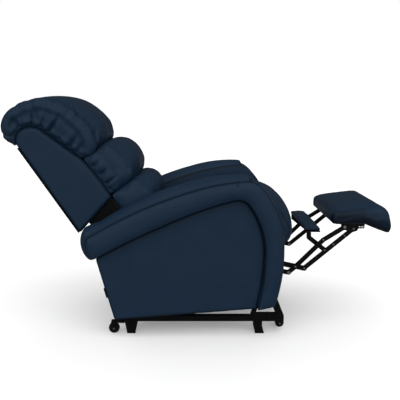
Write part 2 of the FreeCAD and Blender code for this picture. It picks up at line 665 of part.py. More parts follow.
def make_seat():
    boards = []
    for x in (DECK_REAR[0], FRONT_BOARD_X):
        top = along_line(DECK_REAR, DECK_FRONT, x) - STRAP_THICK
        z_ends = (top - SEAT_BOARD_HEIGHT, top)
        boards.append(block((x, x + SEAT_BOARD_WIDTH), (-PLATE_INNER, PLATE_INNER), z_ends))
    save("seat_boards", boards)
    straps = []
    strap_ends = (DECK_REAR[0], FRONT_BOARD_X + SEAT_BOARD_WIDTH)
    start = (DECK_REAR[0], DECK_REAR[1] - STRAP_THICK)
    end = (DECK_FRONT[0], DECK_FRONT[1] - STRAP_THICK)
    outline = sloped_strip(strap_ends, start, end, STRAP_THICK)
    for index in range(STRAP_COUNT):
        y = (index - (STRAP_COUNT - 1) / 2) * SEAT_WIDTH / (STRAP_COUNT + 1)
        straps.append(sheet(outline, y - STRAP_WIDTH / 2, y + STRAP_WIDTH / 2))
    save("seat_straps", straps)
    save("seat_cushion", [cushion(SEAT_END, SEAT_MIDDLE, [SEAT_LIP, DECK_FRONT], SEAT_WIDTH)])


def make_back():
    crest = back_points(BACK_CREST)
    front = back_points(BACK_FRONT)
    corner = back_points([(0, 0)])[0]
    edges = arcs(crest, HINGE_OUTER) + lines([crest[-1], front[0]], HINGE_OUTER)
    edges += arcs(front, HINGE_OUTER) + lines([front[-1], corner, crest[0]], HINGE_OUTER)
    save("back_sides", both(plate(edges, BACK_SIDE_THICK)))
    rails = [sheet(back_points(LUMBAR_BOARD), -HINGE_INNER, HINGE_INNER)]
    for up, ahead in BACK_RAIL_CORNERS:
        high = up + BACK_RAIL_HEIGHT
        deep = ahead + BACK_RAIL_DEPTH
        outline = back_points([(up, ahead), (high, ahead), (high, deep), (up, deep)])
        rails.append(sheet(outline, -HINGE_OUTER, HINGE_OUTER))
    save("back_rails", rails)
    low, high = REAR_COVER_ENDS
    outline = back_points([(low, -REAR_COVER_THICK), (high, -REAR_COVER_THICK), (high, 0), (low, 0)])
    save("back_rear_cover", [sheet(outline, -BACK_WIDTH / 2, BACK_WIDTH / 2)])

    arm = sheet(back_points(HINGE_PLATE), HINGE_INNER, HINGE_OUTER)
    arm = arm.fuse(disc(BACK_HINGE, HINGE_EYE_RADIUS, HINGE_INNER, HINGE_OUTER)).removeSplitter()
    save("back_hinge_plates", both(drilled(arm, [BACK_HINGE], PIN_HOLE)))
    tube = round_tube(BACK_HINGE, HINGE_TUBE_RADIUS, HINGE_TUBE_WALL, HINGE_INNER)
    crank = tube_clevis(BACK_MOTOR[1], BACK_MOTOR[2], BACK_HINGE, HINGE_TUBE_RADIUS, True)
    save("back_hinge_tube", [tube] + crank)

    save("head_pillow", [back_cushion(HEAD_END, HEAD_MIDDLE, HEAD_UNDER)])
    save("mid_pillow", [back_cushion(MID_END, MID_MIDDLE, MID_UNDER)])
    save("low_pillow", [back_cushion(LOW_END, LOW_MIDDLE, LOW_UNDER)])


def rivet(centre, low, high, heads):
    # A head can sit on the inner end, the outer end or neither
    pin = disc(centre, RIVET_RADIUS, low, high)
    if "inner" in heads:
        pin = pin.fuse(disc(centre, RIVET_HEAD, low - RIVET_HEAD_THICK, low))
    if "outer" in heads:
        pin = pin.fuse(disc(centre, RIVET_HEAD, high, high + RIVET_HEAD_THICK))
    return both(pin.removeSplitter())


def make_links():
    front = link([LEG_PIVOT, LEG_KNEE], FRONT_LINK_WIDTH, *FRONT_LINK_LAYER)
    front = drilled(drilled(front, [LEG_CROSS, LEG_KNEE], RIVET_RADIUS), [LEG_PIVOT], PIN_HOLE)
    save("front_links", both(front))
    cross = rivet(LEG_CROSS, FRONT_LINK_LAYER[0], UPPER_LINK_LAYER[1] + RIVET_END, "")
    knee = rivet(LEG_KNEE, LOWER_LINK_LAYER[0] - RIVET_END, FRONT_LINK_LAYER[1], "inner")
    save("front_link_rivets", cross + knee)
    shaft = round_tube(LEG_PIVOT, LEG_SHAFT_RADIUS, LEG_SHAFT_WALL, FRONT_LINK_LAYER[0])
    crank = tube_clevis(LEG_MOTOR[1], LEG_MOTOR[2], LEG_PIVOT, LEG_SHAFT_RADIUS, False)
    save("leg_rest_shaft", [shaft] + crank)

    upper = link([LEG_TAIL, LEG_CROSS, LEG_BEND, OTTOMAN_PIVOT], LINK_WIDTH, *UPPER_LINK_LAYER)
    upper = drilled(drilled(upper, [LEG_CROSS], RIVET_HOLE), [LEG_TAIL, OTTOMAN_PIVOT], RIVET_RADIUS)
    save("upper_links", both(upper))
    tail = rivet(LEG_TAIL, UPPER_LINK_LAYER[0], REAR_LINK_LAYER[1] + RIVET_END, "outer")
    toe = rivet(OTTOMAN_PIVOT, FRONT_LINK_LAYER[0] - RIVET_END, UPPER_LINK_LAYER[1], "outer")
    save("upper_link_rivets", tail + toe)

    rear = link([LEG_REAR_PIVOT, LEG_TAIL], LINK_WIDTH, *REAR_LINK_LAYER)
    rear = drilled(drilled(rear, [LEG_TAIL], RIVET_RADIUS + TAIL_PIVOT_PLAY), [LEG_REAR_PIVOT], PIN_HOLE)
    save("rear_links", both(rear))

    lower = link([LEG_KNEE, OTTOMAN_FRONT_PIVOT], LINK_WIDTH, *LOWER_LINK_LAYER)
    lower = drilled(lower, [OTTOMAN_FRONT_PIVOT, MID_PAD_PIVOT], RIVET_RADIUS)
    save("lower_links", both(drilled(lower, [LEG_KNEE], RIVET_HOLE)))
    toe = rivet(OTTOMAN_FRONT_PIVOT, LOWER_LINK_LAYER[0], FRONT_LINK_LAYER[1] + RIVET_END, "inner")
    mid = rivet(MID_PAD_PIVOT, MID_ARM_LAYER[0] - RIVET_END, LOWER_LINK_LAYER[1], "inner")
    save("lower_link_rivets", toe + mid)


def make_ottoman():
    bottom = OTTOMAN_END[0][1]
    low, high = FRONT_LINK_LAYER
    rear, front = OTTOMAN_BRACKET_ENDS
    cheek = sheet([(rear, bottom)] + OTTOMAN_BRACKET + [(front, bottom)], low, high)
    cheek = drilled(cheek, [OTTOMAN_PIVOT, OTTOMAN_FRONT_PIVOT], RIVET_HOLE)
    cheek = drilled(cheek, OTTOMAN_BRACKET_HOLES, OTTOMAN_BRACKET_HOLE_RADIUS)
    flange = block(OTTOMAN_BRACKET_ENDS, (low - OTTOMAN_FLANGE_WIDTH, low), (bottom - LINK_THICK, bottom))
    save("ottoman_brackets", both(cheek.fuse(flange).removeSplitter()))
    half = high + OTTOMAN_BOARD_OVERHANG
    board = block((OTTOMAN_BOARD_REAR, front), (-half, half), (bottom, bottom + BOARD_THICK))
    save("ottoman_board", [board])
    save("ottoman_pad", [cushion(OTTOMAN_END, OTTOMAN_MIDDLE, [], OTTOMAN_WIDTH).cut(board)])


def make_mid_pad():
    low, high = MID_ARM_LAYER
    foot = (MID_PAD_ELBOWS[-1][0], MID_PAD_BOTTOM - LINK_WIDTH / 2)
    arm = link([MID_PAD_PIVOT] + MID_PAD_ELBOWS + [foot], LINK_WIDTH, low, high)
    shelf_ends = (MID_PAD_BOTTOM - LINK_THICK, MID_PAD_BOTTOM)
    shelf = block(MID_SHELF_ENDS, (low - MID_SHELF_WIDTH, high), shelf_ends)
    arm = arm.fuse(shelf).removeSplitter()
    save("mid_pad_arms", both(drilled(arm, [MID_PAD_PIVOT], RIVET_HOLE)))
    width = 2 * (low - MID_PAD_GAP)
    save("mid_pad", [cushion(MID_PAD_END, MID_PAD_MIDDLE, [], width)])


make_base()
make_wheels()
make_lift()
make_motor("lift", LIFT_MOTOR, LIFT_SLEEVE, 1, 0)
make_motor("leg", LEG_MOTOR, LEG_SLEEVE, -1, 0)
make_motor("back", BACK_MOTOR, BACK_SLEEVE, -1, PIN_RADIUS + BACK_PIVOT_PLAY)
make_arm_covers()
make_side_panels()
make_chair_rails()
make_chair_frame()
make_seat()
make_back()
make_links()
make_ottoman()
make_mid_pad()
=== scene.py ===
import json
import math

import bmesh
import bpy
import numpy as np
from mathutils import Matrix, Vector, noise
from mathutils.bvhtree import BVHTree
from mathutils.kdtree import KDTree


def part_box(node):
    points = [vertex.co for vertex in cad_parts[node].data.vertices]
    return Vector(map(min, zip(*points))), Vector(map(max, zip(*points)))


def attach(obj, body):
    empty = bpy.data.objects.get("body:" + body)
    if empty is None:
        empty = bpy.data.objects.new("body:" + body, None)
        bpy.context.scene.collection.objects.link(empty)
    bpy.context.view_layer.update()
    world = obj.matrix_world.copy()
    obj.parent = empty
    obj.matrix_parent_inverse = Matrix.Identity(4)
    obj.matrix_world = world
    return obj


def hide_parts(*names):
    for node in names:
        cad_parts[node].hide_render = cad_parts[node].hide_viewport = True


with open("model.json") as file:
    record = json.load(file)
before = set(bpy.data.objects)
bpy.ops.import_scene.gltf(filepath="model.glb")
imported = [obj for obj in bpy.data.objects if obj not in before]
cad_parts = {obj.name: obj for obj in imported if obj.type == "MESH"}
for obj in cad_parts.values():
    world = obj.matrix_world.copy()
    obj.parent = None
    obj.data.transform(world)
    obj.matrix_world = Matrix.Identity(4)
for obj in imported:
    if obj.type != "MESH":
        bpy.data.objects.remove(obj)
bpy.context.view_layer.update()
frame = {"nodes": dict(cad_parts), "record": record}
scene = bpy.context.scene
nodes = frame["nodes"]
mm = 0.001
seamStepMm = 2.5  # spacing of the points along a seam
mergeMm = 0.02
flatMm = 0.1


def linearColour(hexText):
    parts = [int(hexText[i:i + 2], 16) / 255 for i in (1, 3, 5)]
    return tuple(c / 12.92 if c <= 0.04045 else ((c + 0.055) / 1.055) ** 2.4 for c in parts) + (1.0,)


def addNode(tree, kind, inputs=None, **settings):
    node = tree.nodes.new(kind)
    for name, value in settings.items():
        setattr(node, name, value)
    for name, value in (inputs or {}).items():
        if isinstance(value, bpy.types.NodeSocket):
            tree.links.new(value, node.inputs[name])
        else:
            node.inputs[name].default_value = value
    return node


def startMaterial(name):
    material = bpy.data.materials.new(name)
    material.use_nodes = True
    tree = material.node_tree
    tree.nodes.clear()
    return material, tree


def endMaterial(tree, inputs):
    shader = addNode(tree, "ShaderNodeBsdfPrincipled", inputs)
    addNode(tree, "ShaderNodeOutputMaterial", {"Surface": shader.outputs["BSDF"]})


def objectPlace(tree):
    return addNode(tree, "ShaderNodeTexCoord").outputs["Object"]


def perMetre(sizeMm):
    return 1000.0 / sizeMm  # texture scale for a pattern of that size


def noiseOf(tree, place, sizeMm, detail, roughness=0.5, distortion=0.0):
    return addNode(tree, "ShaderNodeTexNoise", {
        "Vector": place, "Scale": perMetre(sizeMm), "Detail": detail, "Roughness": roughness,
        "Distortion": distortion}).outputs["Fac"]


def blendOf(tree, factor, first, second):
    first, second = (linearColour(c) if isinstance(c, str) else c for c in (first, second))
    return addNode(tree, "ShaderNodeMix", {
        "Factor": factor, "A": first, "B": second}, data_type="RGBA").outputs["Result"]


def rangeOf(tree, value, low, high, start=0.0, end=1.0):
    return addNode(tree, "ShaderNodeMapRange", {
        "Value": value, "From Min": start, "From Max": end, "To Min": low, "To Max": high}).outputs["Result"]


def bumpOf(tree, height, strength, depthMm, under=None, invert=False):
    inputs = {"Height": height, "Strength": strength, "Distance": depthMm * mm}
    if under is not None:
        inputs["Normal"] = under
    return addNode(tree, "ShaderNodeBump", inputs, invert=invert).outputs["Normal"]


# the near-black colour below is painted shade, laid on where shade falls in seams, folds and turned-under
# edges
leatherLook = {
    "colour": "#122335", "lit": "#182a3c", "paintedShade": "#02050a", "specular": 0.1, "ior": 1.5,
    "roughness": (0.45, 0.56), "rubbed": (0.3, 0.7),
    "mottleMm": 90, "mottleDetail": 3.0, "mottleRoughness": 0.55,
    "pebbleMm": 2.4, "pebbleSmoothness": 0.6, "poreStrength": 0.35, "poreMm": 0.3,
    "softMm": 34, "softDetail": 2.0, "drapeStrength": 0.25, "drapeMm": 3,
}


# PU-coated bonded leather, embossed with a fine pebble: a dull broad sheen that breaks up over the grain
def makeLeather(name, look):
    material, tree = startMaterial(name)
    place = objectPlace(tree)
    mottle = noiseOf(tree, place, look["mottleMm"], look["mottleDetail"], look["mottleRoughness"])
    tone = blendOf(tree, mottle, look["colour"], look["lit"])
    # painted shade: a point attribute blends the colour towards the near-black colour in seam grooves, fold
    # and roll valleys, at the armrest step, low on the ottoman ends and on board edges
    fold = addNode(tree, "ShaderNodeAttribute", attribute_name="paintedShade").outputs["Fac"]
    pebble = addNode(tree, "ShaderNodeTexVoronoi", {
        "Vector": place, "Scale": perMetre(look["pebbleMm"]), "Smoothness": look["pebbleSmoothness"]},
        feature="SMOOTH_F1").outputs["Distance"]
    pores = bumpOf(tree, pebble, look["poreStrength"], look["poreMm"], invert=True)
    slack = noiseOf(tree, place, look["softMm"], look["softDetail"])
    endMaterial(tree, {
        "Base Color": blendOf(tree, fold, tone, look["paintedShade"]),
        "Roughness": rangeOf(tree, mottle, *look["roughness"], *look["rubbed"]),
        "Normal": bumpOf(tree, slack, look["drapeStrength"], look["drapeMm"], under=pores),
        "IOR": look["ior"], "Specular IOR Level": look["specular"]})
    return material


steelLook = {
    "colour": "#040405", "worn": "#0d0d0f", "specular": 0.1, "roughness": (0.56, 0.42),
    "peelMm": 1.6, "peelDetail": 2.0, "peelStrength": 0.2, "peelDepthMm": 0.15,
    "wearMm": 38, "wearDetail": 5.0, "wearRoughness": 0.65, "wornFrom": (0.5, 0.78),
}


# mild steel with a satin black powder coat: low gloss, faint orange peel, greyer where it is rubbed
def makeBlackSteel(name, look):
    material, tree = startMaterial(name)
    place = objectPlace(tree)
    peel = noiseOf(tree, place, look["peelMm"], look["peelDetail"])
    wear = noiseOf(tree, place, look["wearMm"], look["wearDetail"], look["wearRoughness"])
    share = rangeOf(tree, wear, 0.0, 1.0, *look["wornFrom"])
    endMaterial(tree, {
        "Base Color": blendOf(tree, share, look["colour"], look["worn"]),
        "Roughness": rangeOf(tree, wear, *look["roughness"]),
        "Normal": bumpOf(tree, peel, look["peelStrength"], look["peelDepthMm"]),
        "Specular IOR Level": look["specular"]})
    return material


zincLook = {"colour": "#8d9094", "dull": "#66696d", "roughness": (0.34, 0.5), "spangleMm": 5}


# bright zinc-plated steel: grey metal with a slight spangle
def makeZincSteel(name, look):
    material, tree = startMaterial(name)
    spangle = addNode(tree, "ShaderNodeTexVoronoi", {
        "Vector": objectPlace(tree), "Scale": perMetre(look["spangleMm"])}).outputs["Distance"]
    endMaterial(tree, {
        "Base Color": blendOf(tree, spangle, look["colour"], look["dull"]),
        "Roughness": rangeOf(tree, spangle, *look["roughness"]), "Metallic": 1.0})
    return material


rubberLook = {
    "colour": "#070708", "dust": "#101011", "roughness": 0.7, "specular": 0.15, "grainMm": 0.9, "dustMm": 14}
absLook = {
    "colour": "#08090a", "dust": "#0e0f10", "roughness": 0.5, "specular": 0.2, "grainMm": 1.2, "dustMm": 60}
mouldLook = {"grainDetail": 3.0, "grainStrength": 0.3, "grainDepthMm": 0.2, "dustDetail": 4.0}


# moulded pieces: dull rubber tyres and pads, and spark-textured black ABS housings
def makeMoulded(name, look):
    material, tree = startMaterial(name)
    place = objectPlace(tree)
    grain = noiseOf(tree, place, look["grainMm"], mouldLook["grainDetail"])
    film = noiseOf(tree, place, look["dustMm"], mouldLook["dustDetail"])
    endMaterial(tree, {
        "Base Color": blendOf(tree, film, look["colour"], look["dust"]), "Roughness": look["roughness"],
        "Normal": bumpOf(tree, grain, mouldLook["grainStrength"], mouldLook["grainDepthMm"]),
        "Specular IOR Level": look["specular"]})
    return material


plyLook = {
    "pale": "#1c1713", "dark": "#0e0b09", "roughness": 0.7, "specular": 0.15, "grainMm": 7,
    "stretch": (1.0, 0.08, 1.0), "detail": 6.0, "wave": 0.4, "strength": 0.2, "depthMm": 0.3,
}


# birch plywood under a black stain: long grain just showing
def makePlywood(name, look):
    material, tree = startMaterial(name)
    long = addNode(tree, "ShaderNodeMapping", {"Vector": objectPlace(tree), "Scale": look["stretch"]})
    grain = noiseOf(
        tree, long.outputs["Vector"], look["grainMm"], look["detail"], distortion=look["wave"])
    endMaterial(tree, {
        "Base Color": blendOf(tree, grain, look["pale"], look["dark"]), "Roughness": look["roughness"],
        "Normal": bumpOf(tree, grain, look["strength"], look["depthMm"]),
        "Specular IOR Level": look["specular"]})
    return material


webLook = {
    "colour": "#0c0d0e", "thread": "#18191b", "roughness": 0.85, "specular": 0.1, "ribMm": 3,
    "wave": 0.6, "detail": 2.0, "strength": 0.5, "depthMm": 0.5,
}


# elastic jute webbing: close cross ribs
def makeWebbing(name, look):
    material, tree = startMaterial(name)
    rib = addNode(tree, "ShaderNodeTexWave", {
        "Vector": objectPlace(tree), "Scale": perMetre(look["ribMm"]) / (2 * math.pi),
        "Distortion": look["wave"], "Detail": look["detail"]}).outputs["Fac"]
    endMaterial(tree, {
        "Base Color": blendOf(tree, rib, look["colour"], look["thread"]), "Roughness": look["roughness"],
        "Normal": bumpOf(tree, rib, look["strength"], look["depthMm"]),
        "Specular IOR Level": look["specular"]})
    return material


finishes = {
    "navy_leather": makeLeather("navyBondedLeather", leatherLook),
    "black_steel": makeBlackSteel("blackPowderCoatedSteel", steelLook),
    "bright_steel": makeZincSteel("zincPlatedSteel", zincLook),
    "black_rubber": makeMoulded("blackRubber", rubberLook),
    "black_plastic": makeMoulded("blackAbs", absLook),
    "plywood": makePlywood("blackStainedPlywood", plyLook),
    "webbing": makeWebbing("ribbedWebbing", webLook),
}
for subpart in frame["record"]["subparts"]:
    cadMesh = nodes[subpart["node"]].data
    cadMesh.materials.clear()
    cadMesh.materials.append(finishes[subpart["material_slot"]])
print("finishes on", len(nodes), "nodes")


def linkObject(name, mesh):
    piece = bpy.data.objects.new(name, mesh)
    scene.collection.objects.link(piece)
    return piece


def plainMesh(piece):
    graph = bpy.context.evaluated_depsgraph_get()
    return bpy.data.meshes.new_from_object(piece.evaluated_get(graph))


def applyModifiers(piece):
    mesh = plainMesh(piece)
    piece.modifiers.clear()
    piece.data = mesh


def pointsOf(mesh):
    flat = np.zeros(len(mesh.vertices) * 3, np.float32)
    mesh.vertices.foreach_get("co", flat)
    return flat.reshape(-1, 3).astype(float)


def normalsOf(mesh):
    flat = np.zeros(len(mesh.vertices) * 3, np.float32)
    mesh.vertex_normals.foreach_get("vector", flat)
    return flat.reshape(-1, 3).astype(float)


def setPoints(mesh, points):
    mesh.vertices.foreach_set("co", points.astype(np.float32).ravel())
    mesh.update()


def wearLeather(piece):
    piece.data.materials.clear()
    piece.data.materials.append(finishes["navy_leather"])


# stores the amount of painted shade on each point as a point attribute
def markPaintedShade(piece, amount):
    mark = piece.data.attributes.new("paintedShade", "FLOAT", "POINT")
    mark.data.foreach_set("value", amount.astype(np.float32))


def mergedCopy(nodeName):
    work = bmesh.new()
    work.from_mesh(nodes[nodeName].data)
    bmesh.ops.remove_doubles(work, verts=work.verts, dist=mergeMm * mm)
    return work


def newPiece(name, work):
    mesh = bpy.data.meshes.new(name)
    work.to_mesh(mesh)
    work.free()
    return linkObject(name, mesh)


def nodeSurface(nodeName):
    work = mergedCopy(nodeName)
    surface = BVHTree.FromBMesh(work)
    work.free()
    return surface


def skinOf(mesh):
    return BVHTree.FromPolygons([v.co for v in mesh.vertices], [tuple(p.vertices) for p in mesh.polygons])


def evenly(points, step):
    # points at even steps along a closed line
    ring = np.vstack([points, points[:1]])
    lengths = np.linalg.norm(np.diff(ring, axis=0), axis=1)
    along = np.concatenate([[0], np.cumsum(lengths)])
    count = max(int(along[-1] / step), 3)
    wanted = np.linspace(0, along[-1], count, endpoint=False)
    return np.column_stack([np.interp(wanted, along, ring[:, axis]) for axis in range(3)])


def faceOutlines(nodeName, level):
    # outlines of the flat faces of a node that lie at one Y
    work = mergedCopy(nodeName)
    flat = {f for f in work.faces if all(abs(v.co.y - level) < flatMm * mm for v in f.verts)}
    rim = [e for e in work.edges if sum(f in flat for f in e.link_faces) == 1]
    nextTo = {}
    for edge in rim:
        a, b = edge.verts
        nextTo.setdefault(a, []).append(b)
        nextTo.setdefault(b, []).append(a)
    loops = []
    left = set(nextTo)
    while left:
        corner = min(left, key=lambda v: v.index)
        loop = [corner]
        left.discard(corner)
        onward = [v for v in nextTo[corner] if v in left]
        while onward:
            corner = min(onward, key=lambda v: v.index)
            loop.append(corner)
            left.discard(corner)
            onward = [v for v in nextTo[corner] if v in left]
        if len(loop) > 2:
            loops.append(evenly(np.array([v.co for v in loop]), seamStepMm * mm))
    work.free()
    return loops


def treeOf(points):
    tree = KDTree(len(points))
    for index, point in enumerate(points):
        tree.insert(point, index)
    tree.balance()
    return tree


def nearest(points, seam):
    # distance to the seam and index of its nearest point, for each point
    tree = treeOf(seam)
    found = [tree.find(Vector(p)) for p in points]
    return np.array([f[2] for f in found]), np.array([f[1] for f in found])


def smoothStep(value, low, high):
    share = np.clip((value - low) / (high - low), 0, 1)
    return share * share * (3 - 2 * share)


def beside(outlines, nodeName, within):
    # the stretches of the outlines that run along another node
    surface = nodeSurface(nodeName)
    stretches = []
    for loop in outlines:
        close = [surface.find_nearest(Vector(p))[3] < within for p in loop]
        if any(close):
            first = next(i for i in range(len(loop)) if close[i] and not close[i - 1])
            order = [(first + i) % len(loop) for i in range(len(loop))]
            stretches.append(np.array([loop[i] for i in order if close[i]]))
    return stretches


# padded pieces: a close copy of the CAD form, drawn in a little, then blown up between its held seams;
# a roll has its rim worn round and is sewn only where it meets another node, a panel is only puffed
padding = {
    "headPillow": {
        "node": "head_pillow", "body": "back", "cap": 20, "fill": 0.75, "slack": 0.015, "crowned": True,
        "roll": 42, "swell": 16, "meets": "back_sides"},
    "midPillow": {
        "node": "mid_pillow", "body": "back", "cap": 13, "fill": 0.75, "slack": 0.02, "crowned": True,
        "roll": 40, "swell": 5, "meets": "back_sides"},
    "lowPillow": {
        "node": "low_pillow", "body": "back", "cap": 9, "fill": 0.7, "slack": 0.02, "crowned": True,
        "roll": 44, "swell": 2, "meets": "back_sides", "pressedBy": ("seat_cushion", 18)},
    "seatCushion": {
        "node": "seat_cushion", "body": "chair", "cap": 12, "fill": 0.7, "slack": 0.01, "crowned": True,
        "flatUnder": True, "pressedBy": ("low_pillow", -18)},
    "armCoverLeft": {"node": "arm_cover_left", "body": "chair", "cap": 10, "fill": 0.7, "slack": 0.0},
    "armCoverRight": {"node": "arm_cover_right", "body": "chair", "cap": 10, "fill": 0.7, "slack": 0.0},
    "ottomanPad": {
        "node": "ottoman_pad", "body": "ottoman", "cap": 8, "fill": 0.8, "slack": 0.0,
        "roll": 34, "swell": 3, "meets": "ottoman_brackets", "flatUnder": True},
    "midPad": {
        "node": "mid_pad", "body": "mid_pad", "cap": 3, "fill": 0.8, "slack": 0.01, "flatUnder": True},
    "sidePanelLeft": {
        "node": "side_panel_left", "body": "chair", "cap": 4, "fill": 0.3, "panel": True},
    "sidePanelRight": {
        "node": "side_panel_right", "body": "chair", "cap": 4, "fill": 0.3, "panel": True},
    "backSides": {"node": "back_sides", "body": "back", "cap": 5, "fill": 0.4, "panel": True},
}
clothLook = {
    "voxelMm": 6, "shrinkMm": 1.5, "heldMm": 5, "easeMm": 12, "meetsMm": 12, "leastHeld": 0.02,
    "underTilt": (0.5, 0.8), "frames": 20, "pressure": 5.0, "quality": 4, "mass": 0.3,
    "stretch": 12, "shear": 4, "bend": 0.4, "smoothPasses": 2, "smoothShare": 0.4, "levels": 1,
}


def weightGroup(piece, name, weights):
    group = piece.vertex_groups.new(name=name)
    for index in np.nonzero(weights > clothLook["leastHeld"])[0]:
        group.add([int(index)], float(weights[index]), "REPLACE")


def closeTo(points, seams, low, high):
    # 1 on the seams, easing to 0 away from them
    if not seams:
        return np.zeros(len(points))
    apart, _ = nearest(points, np.vstack(seams))
    return 1 - smoothStep(apart, low, high)


# how the rim of a roll is worn round, away from its sewn stretch
rimLook = {"passes": 22, "share": 0.5, "full": 0.3, "sewnMm": 6, "freeMm": 30}


def rollEnds(piece, outlines, seams, reach):
    points = pointsOf(piece.data)
    rim = closeTo(points, outlines, rimLook["full"] * reach, reach)
    rim *= 1 - closeTo(points, seams, rimLook["sewnMm"] * mm, rimLook["freeMm"] * mm)
    weightGroup(piece, "rim", rim)
    smooth = piece.modifiers.new("rim", "SMOOTH")
    smooth.vertex_group = "rim"
    smooth.factor = rimLook["share"]
    smooth.iterations = rimLook["passes"]
    applyModifiers(piece)
    piece.vertex_groups.clear()
    return rim


# how the crown of a cushion is evened, short of its ends
crownLook = {"passes": 500, "share": 0.5, "sharpness": 3, "freeMm": 60, "fixedMm": 20, "easePasses": 12}


def evenCrown(piece, ends):
    # evens the crown from side to side and leaves the profile as it is
    mesh = piece.data
    pairs = np.empty(2 * len(mesh.edges), dtype=np.int32)
    mesh.edges.foreach_get("vertices", pairs)
    first, second = pairs.reshape(-1, 2).T
    points = pointsOf(mesh)
    count = len(points)
    gap = points[second] - points[first]
    weight = (gap[:, 1] ** 2 / np.maximum((gap ** 2).sum(axis=1), 1e-12)) ** crownLook["sharpness"]
    total = np.maximum(np.bincount(first, weight, count) + np.bincount(second, weight, count), 1e-6)
    freeTo, fixedFrom = (ends - crownLook[inset] * mm for inset in ("freeMm", "fixedMm"))
    free = crownLook["share"] * (1 - smoothStep(np.abs(points[:, 1]), freeTo, fixedFrom)) / total
    for _ in range(crownLook["passes"]):
        for axis in (0, 2):
            pull = (points[second, axis] - points[first, axis]) * weight
            points[:, axis] += free * (np.bincount(first, pull, count) - np.bincount(second, pull, count))
    setPoints(mesh, points)
    ease = piece.modifiers.new("ease", "SMOOTH")
    ease.iterations = crownLook["easePasses"]
    applyModifiers(piece)


# where the low pillow comes down on the seat as the back rises, neither is blown up
recline = {"hinge": (-380, 395), "nearMm": 14, "farMm": 45, "drawMm": 5}


def turned(points, degrees):
    hingeX, hingeZ = (place * mm for place in recline["hinge"])
    x, z = points[:, 0] - hingeX, points[:, 2] - hingeZ
    c, s = math.cos(math.radians(degrees)), math.sin(math.radians(degrees))
    return np.column_stack((x * c + z * s + hingeX, points[:, 1], z * c - x * s + hingeZ))


def pressedZone(points, nodeName, degrees):
    # 1 where the other node comes close after the turn, easing to 0 away from it
    surface = nodeSurface(nodeName)
    apart = np.array([surface.find_nearest(Vector(p))[3] for p in turned(points, degrees)])
    return 1 - smoothStep(apart, recline["nearMm"] * mm, recline["farMm"] * mm)


def startPad(name, spec):
    piece = newPiece(name, mergedCopy(spec["node"]))
    remesh = piece.modifiers.new("remesh", "REMESH")
    remesh.mode = "VOXEL"
    remesh.voxel_size = clothLook["voxelMm"] * mm
    applyModifiers(piece)
    low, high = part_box(spec["node"])
    if "crowned" in spec:
        evenCrown(piece, high.y)
    outlines = faceOutlines(spec["node"], low.y) + faceOutlines(spec["node"], high.y)
    seams = outlines
    swell = 0
    if "roll" in spec:
        seams = beside(outlines, spec["meets"], clothLook["meetsMm"] * mm)
        swell = spec["swell"] * mm * rollEnds(piece, outlines, seams, spec["roll"] * mm)[:, None]
    points = pointsOf(piece.data)
    normals = normalsOf(piece.data)
    held = closeTo(points, seams, clothLook["heldMm"] * mm, clothLook["easeMm"] * mm)
    if "flatUnder" in spec:
        held = np.maximum(held, smoothStep(-normals[:, 2], *clothLook["underTilt"]))
    draw = clothLook["shrinkMm"] * mm * (1 - held)
    if "pressedBy" in spec:
        pressed = pressedZone(points, *spec["pressedBy"])
        held = np.maximum(held, pressed)
        draw = np.maximum(draw, recline["drawMm"] * mm * pressed)
    drawn = points - normals * draw[:, None]
    setPoints(piece.data, drawn)
    weightGroup(piece, "held", held)
    return {
        "piece": piece, "start": drawn, "held": held, "swell": swell * normals,
        "seams": seams, "outlines": outlines, "spec": spec}


def isPuffed(pad):
    return "panel" in pad["spec"]


def addCloth(pad):
    cloth = pad["piece"].modifiers.new("cloth", "CLOTH")
    settings = cloth.settings
    settings.quality = clothLook["quality"]
    settings.mass = clothLook["mass"]
    settings.tension_stiffness = clothLook["stretch"]
    settings.compression_stiffness = clothLook["stretch"]
    settings.shear_stiffness = clothLook["shear"]
    settings.bending_stiffness = clothLook["bend"]
    settings.shrink_min = -pad["spec"]["slack"]
    settings.use_pressure = True
    settings.uniform_pressure_force = clothLook["pressure"]
    settings.vertex_group_mass = "held"
    settings.effector_weights.gravity = 0
    cloth.point_cache.frame_start = 1
    cloth.point_cache.frame_end = clothLook["frames"]


def takeShape(pad):
    # the blown-up form, with no point further out than the cap
    piece = pad["piece"]
    limit = pad["spec"]["cap"] * mm
    if isPuffed(pad):
        moved = pad["start"] + normalsOf(piece.data) * (limit * (1 - pad["held"]))[:, None]
    else:
        mesh = plainMesh(piece)
        moved = pointsOf(mesh)
        bpy.data.meshes.remove(mesh)
        piece.modifiers.clear()
    step = moved - pad["start"]
    length = np.linalg.norm(step, axis=1)
    share = limit * np.tanh(length / limit) / np.maximum(length, 1e-9)
    pad["shape"] = pad["start"] + step * share[:, None] + pad["swell"]


def finishPad(pad):
    piece = pad["piece"]
    setPoints(piece.data, pad["shape"])
    smooth = piece.modifiers.new("smooth", "SMOOTH")
    smooth.iterations = clothLook["smoothPasses"]
    smooth.factor = clothLook["smoothShare"]
    levels = piece.modifiers.new("levels", "SUBSURF")
    levels.levels = clothLook["levels"]
    levels.render_levels = clothLook["levels"]
    applyModifiers(piece)
    piece.vertex_groups.clear()
    wearLeather(piece)
    piece.data.polygons.foreach_set("use_smooth", [True] * len(piece.data.polygons))
    # the amount of painted shade on each point, filled in by the seams, rolls, gathers and ends below
    pad["dark"] = np.zeros(len(piece.data.vertices))


